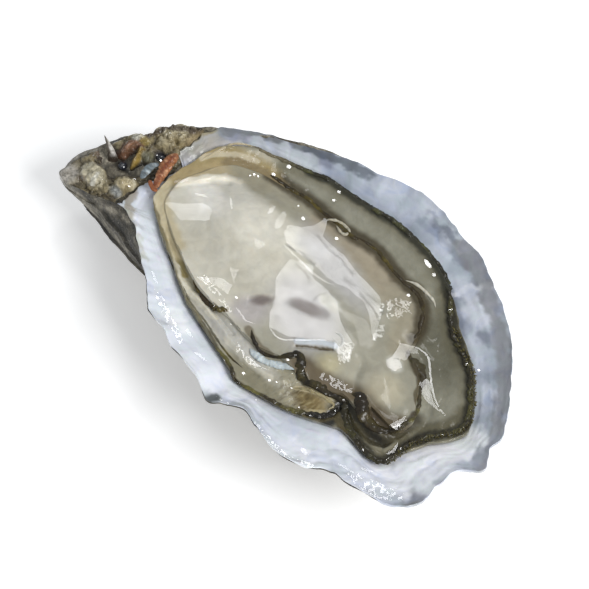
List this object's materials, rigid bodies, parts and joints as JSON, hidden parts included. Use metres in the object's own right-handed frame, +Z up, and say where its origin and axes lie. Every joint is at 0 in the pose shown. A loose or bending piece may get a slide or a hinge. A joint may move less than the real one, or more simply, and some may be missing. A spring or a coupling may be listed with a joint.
{
  "type": "oyster on the half shell",
  "caption": "Raw oyster lying open in its cupped lower shell, with a ruffled rim of nacre, dark-edged mantle, plump pale body and the torn ligament at the hinge.",
  "frame": {"origin": "middle of the small flat spot on the belly of the shell that the oyster rests on", "axes": "+X from the hinge to the lip, +Y toward the side where the mantle lies smooth, +Z up"},
  "size_m": [0.1054, 0.0591, 0.0234],
  "materials": {
    "shell": "pearly white to blue-grey nacre inside, rough dark grey-brown crust outside and at the hinge",
    "flesh": "wet and glossy, cream body, grey-olive mantle with a nearly black edge",
    "ligament": "torn orange-brown fibres, damp"
  },
  "bodies": {
    "root": {"shell": "shell", "animal": "flesh", "ligament": "ligament"}
  },
  "joints": []
}
